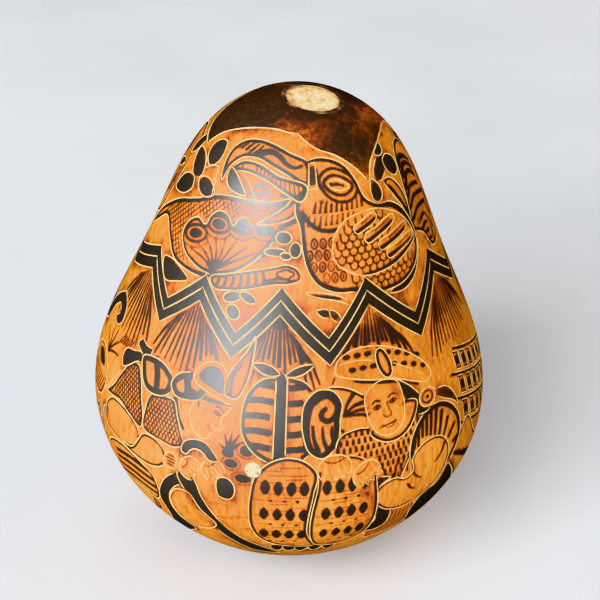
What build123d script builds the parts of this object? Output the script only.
"""A carved gourd rattle without a handle: one dry gourd, closed again, with loose seeds inside.

Millimetres, +Z up, the front toward -Y, the origin on the resting surface under the middle.
The gourd is a body of revolution whose own axis leans a little, as a grown fruit does.
Most lengths are worked out in the fruit's upright frame, blossom end at the origin and stem
end at (0, 0, HEIGHT), and every piece is then carried to the way the fruit stands.
"""
import os
from math import cos, radians, sin, sqrt

from build123d import *

# The fruit: radius and height along one side, from the blossom end to the stem end.
HEIGHT = 152.3
OUTLINE = [
    (0, 0),
    (25.0, 6.5),
    (50.2, 27.0),
    (60.3, 53.0),
    (55.2, 77.5),
    (44.9, 100.5),
    (36.5, 121.0),
    (24.5, 141.5),
    (0, HEIGHT),
]
OUTLINE_STEPS = 24          # points that carry the outline over to a deeper skin
WALL = 3.5                  # dry shell, about the same thickness all round
LEAN_RIGHT = 2.0            # degrees
LEAN_FORWARD = 5.0
LEAN_PIVOT = 55.0           # height on the fruit's axis

# The worn flat under the fruit that it stands on.
REST_DEPTH = 1.3

# The stem end: the stem was cut off and its corky foot sanded flat with the shell round it.
CROWN_BALL = 29.1           # the crown is close to a ball of this radius
SANDED_RADIUS = 8.5
SANDED_TILT_RIGHT = 8.0     # degrees from straight up
SANDED_TILT_FORWARD = 4.5
STEM_RADIUS = 7.4
STEM_RECESS = 0.2           # cork dries a little lower than the shell
STEM_LENGTH = 4.2

# The peg in the hole that the seeds were put in through.
PLUG_RADIUS = 2.4
PLUG_ALONG = 0.4835         # share of the outline from the blossom end up to the hole
PLUG_BEARING = -10.2        # degrees from the front, positive to the right
PLUG_LENGTH = 5.0

# Loose canna seeds, one layer deep on the chamber floor.
SEED_COUNT = 28
SEED_RADIUS = 2.1
SEED_FLATTENING = 0.95
SEED_SPREAD = 2.95
SEED_GAP = 0.1
GOLDEN_ANGLE = 137.508      # degrees, packs seeds evenly round a middle one


def side_through(points):
    """A smooth side through the given points, square to the fruit's axis at both ends."""
    return Spline(points, tangents=[(1, 0, 0), (-1, 0, 0)], tangent_scalars=[1, 1])


def outer_side():
    """The skin's side, from the blossom end to the stem end."""
    return side_through([(radius, 0, height) for radius, height in OUTLINE])


def skin_body(depth=0):
    """The solid that lies a given depth under the fruit's outer skin."""
    side = outer_side()
    if depth:
        points = [Vector(0, 0, depth)]
        for step in range(1, OUTLINE_STEPS):
            along = side % (step / OUTLINE_STEPS)
            inward = Vector(-along.Z, 0, along.X)
            points.append(side @ (step / OUTLINE_STEPS) + inward * depth)
        points.append(Vector(0, 0, HEIGHT - depth))
        side = side_through(points)
    half = make_face([side, Line(side @ 1, side @ 0)])
    return revolve(half, axis=Axis.Z)


def lean():
    """The move from the fruit's upright frame to the way it stands."""
    pivot = Pos(0, 0, LEAN_PIVOT)
    return pivot * Rot(LEAN_FORWARD, LEAN_RIGHT, 0) * pivot.inverse()


def sanded_plane():
    """The plane that the stem end is sanded to, facing out."""
    facing = (Rot(SANDED_TILT_FORWARD, SANDED_TILT_RIGHT, 0) * Pos(0, 0, 1)).position
    centre = (lean() * Pos(0, 0, HEIGHT - CROWN_BALL)).position
    return Plane(centre + facing * sqrt(CROWN_BALL ** 2 - SANDED_RADIUS ** 2), z_dir=facing)


def plug_plane():
    """The plane across the filling hole's mouth, facing out."""
    side = outer_side()
    along = side % PLUG_ALONG
    mouth = Plane(side @ PLUG_ALONG, z_dir=(along.Z, 0, -along.X))
    bearing = Rot(0, 0, PLUG_BEARING - 90)
    return Plane(lean() * bearing * mouth.location)


def half_space(plane):
    """A block that fills everything in front of a plane near the fruit."""
    return plane * Box(2 * HEIGHT, 2 * HEIGHT, HEIGHT, align=(Align.CENTER, Align.CENTER, Align.MIN))


def peg(plane, radius, length, above):
    """A round peg along a plane's normal, from a height above the plane inward."""
    return plane * Pos(0, 0, above) * Cylinder(
        radius, length + above, align=(Align.CENTER, Align.CENTER, Align.MAX)
    )


def rest_plane(fruit):
    """The level plane under the fruit, facing down, that cuts its worn flat."""
    return Plane((0, 0, fruit.bounding_box().min.Z + REST_DEPTH), z_dir=(0, 0, -1))


def make_shell(fruit, chamber):
    """The carved gourd wall, open only where the stem foot and the plug stand in it."""
    shell = fruit - chamber
    shell -= half_space(rest_plane(fruit))
    shell -= half_space(sanded_plane())
    shell -= peg(sanded_plane(), STEM_RADIUS, STEM_LENGTH, STEM_LENGTH)
    shell -= peg(plug_plane(), PLUG_RADIUS, PLUG_LENGTH, PLUG_LENGTH)
    return shell


def make_stem():
    """The corky foot of the stem, through the crown of the shell."""
    return peg(sanded_plane(), STEM_RADIUS, STEM_LENGTH, -STEM_RECESS)


def make_plug(fruit):
    """The wooden peg in the filling hole, pared flush with the skin."""
    return peg(plug_plane(), PLUG_RADIUS, PLUG_LENGTH, PLUG_LENGTH) & fruit


def seed_room():
    """The space that a seed's centre can reach: clear of the wall and of the stem foot."""
    clearance = SEED_RADIUS + SEED_GAP
    room = lean() * skin_body(WALL + clearance)
    return room - peg(sanded_plane(), STEM_RADIUS + clearance, STEM_LENGTH + clearance, 0)


def seed_travel(number, centres):
    """The upright line that one seed's centre can travel, from the floor to the roof."""
    distance = SEED_SPREAD * sqrt(number + 0.5)
    turn = radians(number * GOLDEN_ANGLE)
    foot = Vector(distance * cos(turn), distance * sin(turn), 0)
    upright = Line(foot, foot + Vector(0, 0, 2 * HEIGHT)) & centres
    return upright if upright.tangent_at(0).Z > 0 else upright.reversed()


def make_seed(rest):
    """One hard round seed, a little flattened, at its resting place."""
    seed = scale(Sphere(SEED_RADIUS), by=(1, 1, SEED_FLATTENING))
    return Pos(rest.X, rest.Y, rest.Z) * seed


def build():
    """All the pieces in the row's frame, by node name."""
    fruit = lean() * skin_body()
    chamber = lean() * skin_body(WALL)
    centres = seed_room()
    pieces = {
        "gourd_shell": make_shell(fruit, chamber),
        "stem_stub": make_stem(),
        "filling_plug": make_plug(fruit),
    }
    for number in range(SEED_COUNT):
        travel = seed_travel(number, centres)
        name = f"seed_{number + 1:02d}"
        pieces[name] = make_seed(travel @ 0)
        print(f"{name} rises {travel.length:.2f} mm")
    box = pieces["gourd_shell"].bounding_box()
    to_origin = Pos(-box.center().X, -box.center().Y, -box.min.Z)
    print(f"moved by {to_origin.position}")
    return {name: to_origin * piece for name, piece in pieces.items()}


os.makedirs("parts", exist_ok=True)
for node, solid in build().items():
    export_step(solid, f"parts/{node}.step")
